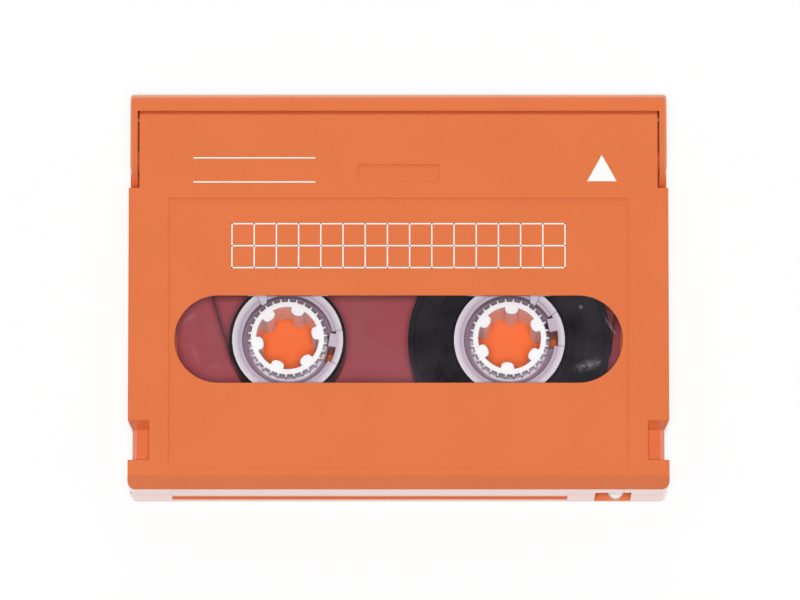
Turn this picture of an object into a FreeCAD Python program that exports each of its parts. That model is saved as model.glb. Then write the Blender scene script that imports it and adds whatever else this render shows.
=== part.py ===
import FreeCAD, Part
import math
import os
import re
import Sketcher

# Cleaning cartridge for an 8 mm tape drive: two moulded half shells, a hinged front lid, a bottom
# slider, two toothed reels with their brake, and the tape that runs between them.
# Millimetres. X runs across the case, +Y towards the lid, +Z up. The origin is under the middle.

SIZES = {
    # case
    "case_width": 73.0,
    "case_depth": 54.0,
    "case_height": 14.7,
    "wall": 1.1,
    "top_plate": 1.2,
    "floor_plate": 1.2,
    "split_over_arm": 0.3,
    "parting_line": 0.12,
    "rear_chamfer": 1.7,
    "front_bevel": 0.65,
    "corner_round": 1.0,
    "edge_round": 0.25,
    # window and the sunk fields of the top
    "window_end": 6.25,
    "window_width": 11.9,
    "window_behind_hub": 0.35,
    "window_ledge": 1.0,
    "window_flange": 0.6,
    "window_sunk": 0.15,
    "window_fit": 0.05,
    "label_side": 5.5,
    "label_front_in": 14.5,
    "label_rear_in": 2.7,
    "label_sunk": 0.15,
    "mark_width": 11.0,
    "mark_depth": 2.3,
    "mark_in": 9.9,
    "mark_sunk": 0.2,
    # loading grips at the sides
    "grip_reach": 2.9,
    "grip_front_in": 9.2,
    "grip_rear_in": 3.8,
    "grip_depth": 2.5,
    "grip_slope": 1.0,
    "grip_notch": 0.6,
    "grip_edge": 0.6,
    # label recess in the rear wall
    "spine_side": 5.8,
    "spine_tab_gap": 3.7,
    "spine_low": 2.2,
    "spine_under_bevel": 0.8,
    "spine_sunk": 0.4,
    # lid
    "lid_wall": 1.45,
    "lid_arm": 1.0,
    "lid_inset": 0.2,
    "lid_gap": 0.25,
    "lid_end_gap": 0.4,
    "lid_sweep_gap": 0.2,
    "lid_low": 1.2,
    "lid_round": 1.8,
    "arm_taper": 0.55,
    "arm_taper_length": 2.4,
    "pivot_back": 8.8,
    "pivot_drop": 3.9,
    "pivot_radius": 1.8,
    "pivot_fit": 0.05,
    "cam_offset": 1.2,
    "cam_radius": 0.5,
    "cam_reach": 1.05,
    "spring_post_radius": 0.6,
    "spring_post_reach": 2.8,
    # lid spring
    "spring_wire": 0.26,
    "spring_radius": 0.9,
    "spring_turns": 2.5,
    "spring_chords": 14,
    "spring_pitch": 0.3,
    "spring_leg": 2.2,
    # slider
    "slider_plate": 1.0,
    "slider_side": 1.0,
    "slider_under_arm": 1.4,
    "slider_travel": 10.3,
    "slider_front_gap": 0.3,
    "slider_end_gap": 0.3,
    "slider_side_gap": 0.2,
    "slider_top_gap": 0.2,
    "slider_float": 0.1,
    "slider_round": 0.8,
    "access_radius": 5.3,
    "rail_drop": 1.3,
    "rail_height": 0.6,
    "rail_depth": 0.45,
    "rail_gap": 0.15,
    # slider lock tongues
    "tongue_in": 12.0,
    "tongue_width": 4.0,
    "tongue_length": 7.5,
    "tongue_slit": 0.6,
    "nub_width": 1.6,
    "nub_length": 1.2,
    "nub_height": 0.4,
    "nub_behind": 0.8,
    "nub_gap": 0.3,
    # lower shell
    "rim_depth": 2.9,
    "hub_hole_radius": 5.5,
    "hub_rib_width": 1.0,
    "hub_rib_height": 0.6,
    "mouth_in": 17.0,
    "mouth_wall": 1.0,
    "mouth_wall_in": 5.5,
    "post_in": 7.2,
    "post_back": 3.7,
    "post_radius": 2.0,
    "datum_in": 9.5,
    "datum_back": 9.2,
    "datum_radius": 1.4,
    "datum_oblong": 0.6,
    "datum_depth": 3.5,
    "datum_wall": 0.7,
    "sense_hole_radius": 0.9,
    "sense_hole_depth": 1.8,
    "sense_hole_pitch": 3.4,
    "sense_hole_in": 7.3,
    # screws
    "screw_front_in": 3.5,
    "screw_behind_step": 3.6,
    "screw_rear_in": 5.0,
    "screw_rear_ahead": 7.5,
    "screw_radius": 0.75,
    "screw_head_radius": 1.35,
    "screw_head": 1.1,
    "screw_under_top": 2.4,
    "screw_fit": 0.06,
    "screw_sunk": 0.5,
    "cross_length": 1.5,
    "cross_width": 0.36,
    "cross_depth": 0.5,
    "boss_radius": 1.9,
    # reels
    "hub_in": 21.5,
    "hub_back": 6.4,
    "hub_radius": 7.5,
    "hub_ring": 0.9,
    "hub_web": 1.4,
    "hub_step": 0.45,
    "hub_overhang": 0.2,
    "sleeve_radius": 4.95,
    "sleeve_rise": 0.5,
    "sleeve_gap": 0.4,
    "spline_root": 4.5,
    "spline_tip": 3.3,
    "spline_width": 1.7,
    "spline_taper": 0.35,
    "spline_count": 6,
    "ratchet_length": 0.45,
    "ratchet_width": 0.32,
    "ratchet_height": 1.9,
    "ratchet_count": 30,
    "left_spline_angle": 10.0,
    "right_spline_angle": 26.0,
    "left_clamp_angle": -8.0,
    "right_clamp_angle": 12.0,
    "clamp_sector_angle": 38.0,
    "clamp_depth": 2.0,
    "clamp_wedge_width": 1.8,
    "clamp_wedge_offset": 0.8,
    "clamp_fit": 0.05,
    # tape
    "head_room": 2.15,
    "tape_over_floor": 1.05,
    "tape_thickness": 0.1,
    "tape_gap": 0.12,
    "left_wound": 0.4,
    "right_wound": 6.2,
    "pack_gap": 1.7,
    # liners
    "liner_thickness": 0.1,
    "liner_ahead": 14.0,
    "liner_gap": 0.4,
    "liner_rib": 0.8,
    "liner_over_tape": 0.4,
    # brake
    "brake_thickness": 1.2,
    "brake_gap": 0.2,
    "brake_travel": 1.2,
    "brake_bar": 1.4,
    "brake_spine_half": 4.0,
    "yoke_ahead": 7.9,
    "yoke_width": 2.2,
    "brake_cam_gap": 0.35,
    "brake_side_gap": 0.3,
    "brake_lug": 1.0,
    "brake_lug_under": 0.1,
    "pawl_width": 2.6,
    "pawl_near": 2.8,
    "pawl_tip": 0.6,
    "pawl_gap": 0.15,
    "guide_width": 0.8,
    "guide_gap": 0.15,
    "guide_length": 3.0,
    "leaf_thickness": 0.2,
    "leaf_half": 7.0,
    "leaf_gap": 0.06,
    "skirt_wall": 1.3,
    "skirt_over_tape": 0.55,
    # write-protect tab
    "tab_in": 5.0,
    "tab_width": 4.9,
    "tab_low": 0.9,
    "tab_under_bevel": 3.5,
    "tab_travel": 1.6,
    "tab_knob_width": 2.3,
    "tab_knob_height": 2.5,
    "tab_plate": 1.0,
    "tab_gap": 0.15,
    "tab_overlap": 0.9,
    "tab_rail": 0.8,
    # prisms
    "prism_gap": 0.6,
    "prism_back": 10.8,
    "prism_side": 3.0,
    "prism_under": 0.85,
    "prism_hole": 2.0,
}

# Sizes and places that follow from the ones above.
DERIVED = {
    "half_width": "case_width / 2",
    "front_y": "case_depth / 2",
    "rear_y": "-case_depth / 2",
    "plate_z": "case_height - top_plate",
    "bevel_z": "case_height - rear_chamfer",
    "pivot_y": "front_y - pivot_back",
    "pivot_z": "case_height - pivot_drop",
    "arm_low": "pivot_z - pivot_drop",
    "split_z": "arm_low + split_over_arm",
    "lid_half": "half_width - lid_inset",
    "arm_in": "lid_half - lid_arm",
    "recess_half": "arm_in - lid_gap",
    "step_y": "pivot_y - pivot_drop - lid_end_gap",
    "lid_inner_y": "front_y - lid_wall",
    "lid_inner_radius": "pivot_back - lid_wall",
    "front_edge": "pivot_y + sqrt((lid_inner_radius - lid_sweep_gap)^2 - (pivot_drop - front_bevel)^2)",
    "room_half": "half_width - wall",
    "front_room_half": "recess_half - wall",
    "skirt_in": "front_edge - skirt_wall",
    "slide_half": "half_width - slider_side - slider_side_gap",
    "slider_height": "arm_low - slider_under_arm",
    "rail_low": "slider_height - rail_drop",
    "floor_low": "slider_plate + slider_float",
    "floor_top": "floor_low + floor_plate",
    "band_z": "slider_height + slider_top_gap",
    "rim_y": "rear_y + rim_depth",
    "slider_front_y": "lid_inner_y - slider_front_gap",
    "slider_rear_y": "rim_y + slider_end_gap + slider_travel",
    "tongue_x": "half_width - tongue_in",
    "nub_y": "slider_rear_y - nub_behind - nub_length",
    "tape_low": "floor_top + tape_over_floor",
    "tape_high": "plate_z - head_room",
    "hub_x": "half_width - hub_in",
    "hub_y": "-hub_back",
    "hub_low": "tape_low - hub_overhang",
    "hub_high": "tape_high + hub_overhang",
    "sleeve_low": "floor_low + sleeve_rise",
    "sleeve_high": "plate_z - sleeve_gap",
    "ratchet_tip": "sleeve_radius + ratchet_length",
    "left_pack_radius": "hub_radius + left_wound",
    "right_pack_radius": "hub_radius + right_wound",
    "mouth_half": "half_width - mouth_in",
    "mouth_back": "hub_y + right_pack_radius + pack_gap + mouth_wall",
    "mouth_wall_front": "front_y - mouth_wall_in",
    "post_x": "half_width - post_in",
    "post_y": "front_edge - post_back",
    "datum_x": "half_width - datum_in",
    "datum_y": "front_y - datum_back",
    "screw_front_x": "half_width - screw_front_in",
    "screw_front_y": "step_y - screw_behind_step",
    "screw_rear_x": "half_width - screw_rear_in",
    "screw_rear_y": "rear_y + screw_rear_ahead",
    "screw_seat": "floor_low + screw_sunk + screw_head",
    "screw_end": "plate_z - screw_under_top",
    "window_y": "hub_y - window_behind_hub",
    "window_run": "half_width - window_end - window_width / 2",
    "window_ledge_z": "plate_z + window_flange",
    "label_half": "half_width - label_side",
    "mark_y": "front_y - mark_in",
    "grip_z": "case_height - grip_depth",
    "grip_in": "half_width - grip_reach",
    "grip_side": "half_width - grip_notch",
    "grip_front_y": "rear_y + grip_front_in",
    "grip_rear_y": "rear_y + grip_rear_in",
    "spine_left": "half_width - spine_side",
    "spine_right": "tab_left - spine_tab_gap",
    "spine_high": "bevel_z - spine_under_bevel",
    "skirt_z": "tape_high + skirt_over_tape",
    "liner_z": "tape_high + liner_over_tape",
    "liner_top": "liner_z + liner_thickness",
    "liner_half": "screw_rear_x - boss_radius - liner_gap",
    "liner_front": "hub_y + liner_ahead",
    "liner_rear_y": "tab_rail_y + tab_rail + liner_gap",
    "brake_high": "plate_z - brake_gap",
    "brake_low": "brake_high - brake_thickness",
    "brake_bar_y": "pivot_y + cam_radius + brake_cam_gap",
    "brake_bar_front": "brake_bar_y + brake_bar",
    "brake_half": "front_room_half - brake_side_gap",
    "brake_yoke_rear": "hub_y + yoke_ahead",
    "brake_yoke_front": "brake_yoke_rear + yoke_width",
    "brake_lug_low": "pivot_z - cam_offset - cam_radius - brake_lug_under",
    "pawl_reach": "ratchet_tip + pawl_gap",
    "pawl_out": "pawl_near + pawl_width",
    "pawl_far": "pawl_near + pawl_tip",
    "tab_right": "half_width - tab_in",
    "tab_left": "tab_right - tab_width",
    "tab_high": "bevel_z - tab_under_bevel",
    "tab_face_y": "rear_y + wall",
    "tab_plate_y": "tab_face_y + tab_gap",
    "tab_rail_y": "tab_plate_y + tab_plate + tab_gap",
    "tab_middle": "tab_left + tab_gap + tab_knob_width / 2 + tab_travel",
    "prism_x": "mouth_half + mouth_wall + prism_gap",
    "prism_y": "front_y - prism_back",
    "prism_neck": "(tape_low + tape_high) / 2 - floor_top - prism_under",
}

doc = FreeCAD.newDocument("tape_cleaning_cartridge")
dims = doc.addObject("Spreadsheet::Sheet", "dims")
for row, (size_name, size) in enumerate(SIZES.items(), start=1):
    dims.set(f"A{row}", str(size))
    dims.setAlias(f"A{row}", size_name)
doc.recompute()

WORD = re.compile(r"[a-z][a-z_]+")


def formula(text):
    """Spell a formula out in cells of the sheet; function names such as sqrt stay as they are."""
    def spelled(match):
        word = match.group()
        if word in SIZES:
            return f"dims.{word}"
        if word in DERIVED:
            return f"({formula(DERIVED[word])})"
        return word
    return WORD.sub(spelled, text)


def value(text):
    """The number that a formula gives with the sheet's present sizes."""
    return float(dims.evalExpression(formula(text)))


def at(x, y, z="0"):
    """A point whose coordinates are formulas."""
    return FreeCAD.Vector(value(x), value(y), value(z))


def constrain(sketch, text, kind, *points):
    """Add a dimension to a sketch and bind it to a formula."""
    number = sketch.addConstraint(Sketcher.Constraint(kind, *points, value(text)))
    sketch.setExpression(f"Constraints[{number}]", formula(text))


def pin(sketch, index, end, x, y):
    """Hold one point of a sketch at its place, measured from the sketch's origin."""
    constrain(sketch, x, "DistanceX", -1, 1, index, end)
    constrain(sketch, y, "DistanceY", -1, 1, index, end)


def polygon(*points):
    """Outline of straight sides through the points."""
    def draw(sketch):
        first = sketch.GeometryCount
        count = len(points)
        corners = [at(x, y) for x, y in points]
        for here, there in zip(corners, corners[1:] + corners[:1]):
            sketch.addGeometry(Part.LineSegment(here, there))
        for step, (x, y) in enumerate(points):
            following = first + (step + 1) % count
            sketch.addConstraint(Sketcher.Constraint("Coincident", first + step, 2, following, 1))
            pin(sketch, first + step, 1, x, y)
    return draw


def rect(x_low, y_low, x_high, y_high):
    """Rectangle between two corners."""
    return polygon((x_low, y_low), (x_high, y_low), (x_high, y_high), (x_low, y_high))


def circle(x, y, radius):
    """Full circle."""
    def draw(sketch):
        ring = Part.Circle(at(x, y), FreeCAD.Vector(0, 0, 1), value(radius))
        index = sketch.addGeometry(ring)
        pin(sketch, index, 3, x, y)
        constrain(sketch, radius, "Radius", index)
    return draw


def slot(x_low, x_high, y, radius):
    """Round-ended slot along X between two centres."""
    def draw(sketch):
        up = FreeCAD.Vector(0, 0, 1)
        reach = value(radius)
        ends = ((x_low, math.pi / 2, 3 * math.pi / 2), (x_high, -math.pi / 2, math.pi / 2))
        bows = []
        for x, start, stop in ends:
            bow = Part.ArcOfCircle(Part.Circle(at(x, y), up, reach), start, stop)
            bows.append(sketch.addGeometry(bow))
        rise = FreeCAD.Vector(0, reach, 0)
        low = sketch.addGeometry(Part.LineSegment(at(x_low, y) - rise, at(x_high, y) - rise))
        high = sketch.addGeometry(Part.LineSegment(at(x_high, y) + rise, at(x_low, y) + rise))
        left, right = bows
        for one, other in ((left, low), (low, right), (right, high), (high, left)):
            sketch.addConstraint(Sketcher.Constraint("Tangent", one, 2, other, 1))
        for bow, (x, start, stop) in zip(bows, ends):
            pin(sketch, bow, 3, x, y)
            constrain(sketch, radius, "Radius", bow)
    return draw


def nosed_tooth(root, tip, width, taper):
    """Tooth that points at the origin along X: two flanks that lean together and a round nose."""
    nose = f"({width} / 2 - {taper})"
    middle = f"({tip} + {nose})"

    def draw(sketch):
        bow = Part.ArcOfCircle(Part.Circle(at(middle, "0"), FreeCAD.Vector(0, 0, 1), value(nose)),
                               math.pi / 2, 3 * math.pi / 2)
        round_end = sketch.addGeometry(bow)
        corners = [at(middle, f"-{nose}"), at(root, f"-{width} / 2"),
                   at(root, f"{width} / 2"), at(middle, nose)]
        flank, foot, far_flank = [sketch.addGeometry(Part.LineSegment(here, there))
                                  for here, there in zip(corners, corners[1:])]
        for one, other in ((round_end, flank), (flank, foot), (foot, far_flank), (far_flank, round_end)):
            sketch.addConstraint(Sketcher.Constraint("Coincident", one, 2, other, 1))
        pin(sketch, foot, 1, root, f"-{width} / 2")
        pin(sketch, foot, 2, root, f"{width} / 2")
        pin(sketch, round_end, 3, middle, "0")
        constrain(sketch, nose, "Radius", round_end)
        constrain(sketch, middle, "DistanceX", -1, 1, round_end, 1)
        constrain(sketch, middle, "DistanceX", -1, 1, round_end, 2)
    return draw


def both_sides(outline, x_low, *rest):
    """The same outline at the right and, mirrored, at the left."""
    if outline is rect:
        y_low, x_high, y_high = rest
        return (rect(x_low, y_low, x_high, y_high),
                rect(f"-({x_high})", y_low, f"-({x_low})", y_high))
    return outline(x_low, *rest), outline(f"-({x_low})", *rest)


def case_plan():
    """Plan of the case: full width at the rear, drawn in beside the lid's arms."""
    return polygon(
        ("-half_width", "rear_y"),
        ("half_width", "rear_y"),
        ("half_width", "step_y"),
        ("recess_half", "step_y"),
        ("recess_half", "front_edge"),
        ("-recess_half", "front_edge"),
        ("-recess_half", "step_y"),
        ("-half_width", "step_y"),
    )


def grip_notch(sense):
    """Plan of the shallow notch that a loading grip leaves in the case's side, slanted at its front end."""
    return polygon(
        (f"{sense} * half_width", "grip_front_y"),
        (f"{sense} * grip_side", "grip_front_y - grip_slope"),
        (f"{sense} * grip_side", "grip_rear_y"),
        (f"{sense} * half_width", "grip_rear_y"),
    )


class Piece:
    """One piece of the cartridge, built up as a body of sketched features."""

    # sketch plane that each direction stands on, and the sense of that plane's normal
    PLANES = {"z": ("XY_Plane", 1), "x": ("YZ_Plane", 1), "y": ("XZ_Plane", -1)}

    def __init__(self, label):
        self.body = doc.addObject("PartDesign::Body", label)
        self.body.Label = label
        self.origin = {item.Role: item for item in self.body.Origin.OriginFeatures}

    def sketch(self, name, along, level, outlines, spin="0"):
        plane, sense = self.PLANES[along]
        sketch = self.body.newObject("Sketcher::SketchObject", f"{self.body.Name}_{name}_sketch")
        sketch.AttachmentSupport = [(self.origin[plane], "")]
        sketch.MapMode = "FlatFace"
        turned = FreeCAD.Rotation(FreeCAD.Vector(0, 0, 1), value(spin))
        sketch.AttachmentOffset = FreeCAD.Placement(FreeCAD.Vector(), turned)
        sketch.setExpression("AttachmentOffset.Base.z", formula(f"{sense} * ({level})"))
        for outline in outlines:
            outline(sketch)
        return sketch

    def feature(self, kind, name, sketch):
        made = self.body.newObject(f"PartDesign::{kind}", f"{self.body.Name}_{name}")
        made.Profile = sketch
        sketch.Visibility = False
        return made

    def grow(self, name, along, low, high, *outlines, spin="0"):
        """Add the outlines' material between two levels, the sketch turned in its plane by spin."""
        start = high if along == "y" else low
        pad = self.feature("Pad", name, self.sketch(name, along, start, outlines, spin))
        pad.setExpression("Length", formula(f"({high}) - ({low})"))
        doc.recompute()
        return pad

    def carve(self, name, along, low, high, *outlines):
        """Take the outlines' material away between two levels."""
        start = low if along == "y" else high
        before = self.body.Shape.Volume
        pocket = self.feature("Pocket", name, self.sketch(name, along, start, outlines))
        pocket.setExpression("Length", formula(f"({high}) - ({low})"))
        doc.recompute()
        if self.body.Shape.Volume >= before:
            raise ValueError(f"{self.body.Label}: {name} takes nothing away")
        return pocket

    def turn(self, name, outline, kind="Revolution", sector="360"):
        """Revolve an outline, drawn as radius and height, about the piece's own Z axis."""
        sketch = self.sketch(name, "y", "0", [outline])
        turned = self.feature(kind, name, sketch)
        turned.ReferenceAxis = (sketch, ["V_Axis"])
        turned.Midplane = True
        turned.setExpression("Angle", formula(sector))
        doc.recompute()
        return turned

    def ring_of(self, name, feature, count):
        """Repeat a feature evenly about the piece's own Z axis."""
        pattern = self.body.newObject("PartDesign::PolarPattern", f"{self.body.Name}_{name}")
        pattern.Originals = [feature]
        pattern.Axis = (self.origin["Z_Axis"], [""])
        pattern.Angle = 360
        pattern.setExpression("Occurrences", formula(count))
        self.body.Tip = pattern
        doc.recompute()

    def trim_edges(self, kind, name, size, chosen):
        """Fillet or chamfer the straight edges whose two ends both pass the test."""
        tip = self.body.Tip
        names = []
        for number, edge in enumerate(tip.Shape.Edges, start=1):
            ends = [vertex.Point for vertex in edge.Vertexes]
            if len(ends) == 2 and edge.Curve.TypeId == "Part::GeomLine" and chosen(*ends):
                names.append(f"Edge{number}")
        trim = self.body.newObject(f"PartDesign::{kind}", f"{self.body.Name}_{name}")
        trim.Base = (tip, names)
        trim.setExpression({"Fillet": "Radius", "Chamfer": "Size"}[kind], formula(size))
        doc.recompute()

    def place(self, x, y, angle="0"):
        """Stand the piece's own axis at a place, turned about it."""
        self.body.setExpression("Placement.Base.x", formula(x))
        self.body.setExpression("Placement.Base.y", formula(y))
        self.body.Placement.Rotation = FreeCAD.Rotation(FreeCAD.Vector(0, 0, 1), 1)
        self.body.setExpression("Placement.Rotation.Angle", formula(angle))
        doc.recompute()


def near(a, b):
    """True where two lengths agree within the model's tolerance."""
    return abs(a - b) < 1e-4


def rear_upright(a, b):
    """True for the upright edges of the case's two rear corners."""
    at_rear = near(a.y, value("rear_y")) and near(b.y, value("rear_y"))
    at_side = near(abs(a.x), value("half_width")) and near(a.x, b.x)
    return at_rear and at_side


def make_upper_shell():
    shell = Piece("upper_shell")
    shell.grow("block", "z", "split_z", "case_height", case_plan())
    shell.trim_edges("Fillet", "rear_corners", "corner_round", rear_upright)
    shell.carve("rear_bevel", "x", "-half_width", "half_width", polygon(
        ("rear_y", "case_height"),
        ("rear_y + rear_chamfer", "case_height"),
        ("rear_y", "bevel_z"),
    ))

    def side_of_top(a, b):
        level = near(a.z, value("case_height")) and near(b.z, value("case_height"))
        return level and near(abs(a.x), value("half_width")) and near(a.x, b.x)

    def front_of_top(a, b):
        level = near(a.z, value("case_height")) and near(b.z, value("case_height"))
        return level and near(a.y, value("front_edge")) and near(b.y, value("front_edge"))

    shell.trim_edges("Fillet", "side_edges", "edge_round", side_of_top)
    shell.trim_edges("Chamfer", "front_bevel", "front_bevel", front_of_top)
    shell.carve("room", "z", "split_z", "plate_z", polygon(
        ("-room_half", "rear_y + wall + rear_chamfer / 2"),
        ("room_half", "rear_y + wall + rear_chamfer / 2"),
        ("room_half", "step_y - wall"),
        ("front_room_half", "step_y - wall"),
        ("front_room_half", "skirt_in"),
        ("-front_room_half", "skirt_in"),
        ("-front_room_half", "step_y - wall"),
        ("-room_half", "step_y - wall"),
    ))
    shell.carve("rear_room", "z", "split_z", "bevel_z", rect(
        "-room_half", "tab_face_y", "room_half", "tab_face_y + rear_chamfer"))
    shell.carve("mouth", "z", "split_z", "skirt_z", rect(
        "-front_room_half", "skirt_in - skirt_wall", "front_room_half", "front_edge + skirt_wall"))

    shell.carve("window", "z", "plate_z", "case_height", slot(
        "-window_run", "window_run", "window_y", "window_width / 2"))
    shell.carve("window_rebate", "z", "plate_z", "window_ledge_z", slot(
        "-window_run", "window_run", "window_y", "window_width / 2 + window_ledge + window_fit"))
    shell.carve("label_field", "z", "case_height - label_sunk", "case_height", rect(
        "-label_half", "rear_y + label_rear_in", "label_half", "front_y - label_front_in"))
    shell.carve("mark_field", "z", "case_height - mark_sunk", "case_height", rect(
        "-mark_width / 2", "mark_y - mark_depth", "mark_width / 2", "mark_y"))

    shell.grow("grip_floors", "z", "grip_z - wall", "plate_z", *both_sides(
        rect, "grip_in - wall", "grip_rear_y - wall", "room_half", "grip_front_y + wall"))
    for side in ("left", "right"):
        inner, outer = ("grip_in", "half_width") if side == "right" else ("-half_width", "-grip_in")
        shell.carve(f"{side}_grip", "x", inner, outer, polygon(
            ("grip_front_y", "case_height"),
            ("grip_front_y - grip_slope", "grip_z"),
            ("grip_rear_y", "grip_z"),
            ("grip_rear_y", "case_height"),
        ))
    shell.carve("grip_notches", "z", "split_z", "case_height", grip_notch(-1), grip_notch(1))
    shell.carve("grip_edges", "y", "grip_rear_y", "grip_front_y - grip_slope", *[polygon(
        (f"{sense} * (grip_side - grip_edge)", "grip_z"),
        (f"{sense} * grip_side", "grip_z"),
        (f"{sense} * grip_side", "grip_z - grip_edge"),
    ) for sense in (-1, 1)])

    shell.grow("bosses", "z", "split_z", "plate_z",
               *both_sides(circle, "screw_front_x", "screw_front_y", "boss_radius"),
               *both_sides(circle, "screw_rear_x", "screw_rear_y", "boss_radius"))
    shell.carve("pilot_holes", "z", "split_z", "screw_end",
                *both_sides(circle, "screw_front_x", "screw_front_y", "screw_radius + screw_fit"),
                *both_sides(circle, "screw_rear_x", "screw_rear_y", "screw_radius + screw_fit"))
    for side, inner, outer in (("left", "-recess_half", "-front_room_half"),
                               ("right", "front_room_half", "recess_half")):
        shell.carve(f"{side}_pivot_hole", "x", inner, outer, circle(
            "pivot_y", "pivot_z", "pivot_radius + pivot_fit"))

    guide_rear = "brake_yoke_front + brake_travel + guide_gap"
    shell.grow("brake_guides", "z", "brake_low", "plate_z", *both_sides(
        rect, "brake_spine_half + guide_gap", guide_rear,
        "brake_spine_half + guide_gap + guide_width", f"{guide_rear} + guide_length"))
    shell.grow("liner_ribs", "z", "liner_top", "plate_z",
               rect("-liner_half", "liner_rear_y", "liner_half", "liner_rear_y + liner_rib"),
               *both_sides(rect, "brake_spine_half + 2 * guide_gap + guide_width",
                           "liner_front - liner_rib", "liner_half", "liner_front"))

    shell.carve("label_recess", "y", "rear_y", "rear_y + spine_sunk", rect(
        "-spine_left", "split_z", "spine_right", "spine_high"))
    shell.carve("tab_opening", "y", "rear_y", "tab_face_y", rect(
        "tab_left", "split_z", "tab_right", "tab_high"))
    shell.grow("tab_stop", "z", "tab_high + tab_gap", "bevel_z", rect(
        "tab_left - tab_travel", "tab_face_y", "front_room_half", "tab_plate_y + tab_plate"))
    return shell.body


def make_window():
    pane = Piece("window")
    pane.grow("flange", "z", "plate_z", "window_ledge_z", slot(
        "-window_run", "window_run", "window_y", "window_width / 2 + window_ledge"))
    pane.grow("face", "z", "window_ledge_z", "case_height - window_sunk", slot(
        "-window_run", "window_run", "window_y", "window_width / 2 - window_fit"))
    return pane.body


def make_lower_shell():
    shell = Piece("lower_shell")
    shell.grow("floor", "z", "floor_low", "band_z", rect(
        "-slide_half", "rim_y", "slide_half", "front_edge"))
    shell.grow("rear_rim", "z", "0", "band_z", rect("-half_width", "rear_y", "half_width", "rim_y"))
    shell.grow("band", "z", "band_z", "split_z", case_plan())
    shell.trim_edges("Fillet", "rear_corners", "corner_round", rear_upright)
    shell.carve("grip_notches", "z", "band_z", "split_z", grip_notch(-1), grip_notch(1))
    shell.carve("parting_line", "z", "split_z - parting_line", "split_z",
                rect("-case_width", "-case_depth", "case_width", "case_depth"),
                rect("-half_width + parting_line", "rear_y + parting_line",
                     "half_width - parting_line", "front_edge - parting_line"))
    shell.carve("room", "z", "floor_top", "split_z", rect(
        "-front_room_half", "tab_face_y", "front_room_half", "front_edge + wall"))

    shell.carve("mouth", "z", "floor_low", "floor_top", rect(
        "-mouth_half", "mouth_back", "mouth_half", "front_edge + wall"))
    shell.grow("mouth_walls", "z", "floor_top", "tape_high", polygon(
        ("-mouth_half - mouth_wall", "mouth_back - mouth_wall"),
        ("mouth_half + mouth_wall", "mouth_back - mouth_wall"),
        ("mouth_half + mouth_wall", "mouth_wall_front"),
        ("mouth_half", "mouth_wall_front"),
        ("mouth_half", "mouth_back"),
        ("-mouth_half", "mouth_back"),
        ("-mouth_half", "mouth_wall_front"),
        ("-mouth_half - mouth_wall", "mouth_wall_front"),
    ))
    shell.grow("guide_posts", "z", "floor_top", "tape_high + hub_overhang", *both_sides(
        circle, "post_x", "post_y", "post_radius"))

    for x in ("-hub_x", "hub_x"):
        name = "left" if x.startswith("-") else "right"
        shell.grow(f"{name}_hub_rib", "z", "floor_top", "floor_top + hub_rib_height", circle(
            x, "hub_y", "hub_hole_radius + hub_rib_width"))
        shell.carve(f"{name}_hub_hole", "z", "floor_low", "floor_top + hub_rib_height", circle(
            x, "hub_y", "hub_hole_radius"))

    boss_top = "floor_low + datum_depth + floor_plate"
    shell.grow("datum_bosses", "z", "floor_top", boss_top,
               circle("-datum_x", "datum_y", "datum_radius + datum_wall"),
               slot("datum_x - datum_oblong", "datum_x + datum_oblong", "datum_y",
                    "datum_radius + datum_wall"))
    shell.carve("datum_holes", "z", "floor_low", "floor_low + datum_depth",
                circle("-datum_x", "datum_y", "datum_radius"),
                slot("datum_x - datum_oblong", "datum_x + datum_oblong", "datum_y", "datum_radius"))
    shell.carve("prism_holes", "z", "floor_low", "floor_top", *both_sides(
        rect, "prism_x + (prism_side - prism_hole) / 2", "prism_y + (prism_side - prism_hole) / 2",
        "prism_x + (prism_side + prism_hole) / 2", "prism_y + (prism_side + prism_hole) / 2"))

    places = (("screw_front_x", "screw_front_y"), ("screw_rear_x", "screw_rear_y"))
    for step, (x, y) in enumerate(places):
        shell.grow(f"bosses_{step}", "z", "floor_top", "split_z", *both_sides(
            circle, x, y, "boss_radius"))
        shell.carve(f"shank_holes_{step}", "z", "floor_low", "split_z", *both_sides(
            circle, x, y, "screw_radius + screw_fit"))
        shell.carve(f"head_holes_{step}", "z", "floor_low", "screw_seat", *both_sides(
            circle, x, y, "screw_head_radius + screw_fit"))

    shell.carve("slider_grooves", "z", "rail_low - rail_gap", "rail_low + rail_height + rail_gap",
                *both_sides(rect, "half_width - slider_side - rail_depth - slider_side_gap", "rim_y",
                            "half_width", "front_edge"))

    shell.carve("tongue_slits", "z", "floor_low", "floor_top",
                *both_sides(tongue_slit, "tongue_x"))
    shell.grow("nubs", "z", "floor_low - nub_height", "floor_low", *both_sides(
        rect, "tongue_x - nub_width / 2", "nub_y", "tongue_x + nub_width / 2", "nub_y + nub_length"))

    shell.carve("sense_holes", "z", "0", "sense_hole_depth", *[
        circle(f"-half_width + sense_hole_in + {step} * sense_hole_pitch", "rear_y + rim_depth / 2",
               "sense_hole_radius") for step in range(4)])
    shell.carve("label_recess", "y", "rear_y", "rear_y + spine_sunk", rect(
        "-spine_left", "spine_low", "spine_right", "split_z"))
    shell.carve("tab_opening", "y", "rear_y", "tab_face_y", rect(
        "tab_left", "tab_low", "tab_right", "split_z"))
    shell.grow("tab_rail", "z", "floor_top", "split_z", rect(
        "tab_left - tab_travel", "tab_rail_y", "front_room_half", "tab_rail_y + tab_rail"))
    return shell.body


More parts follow.
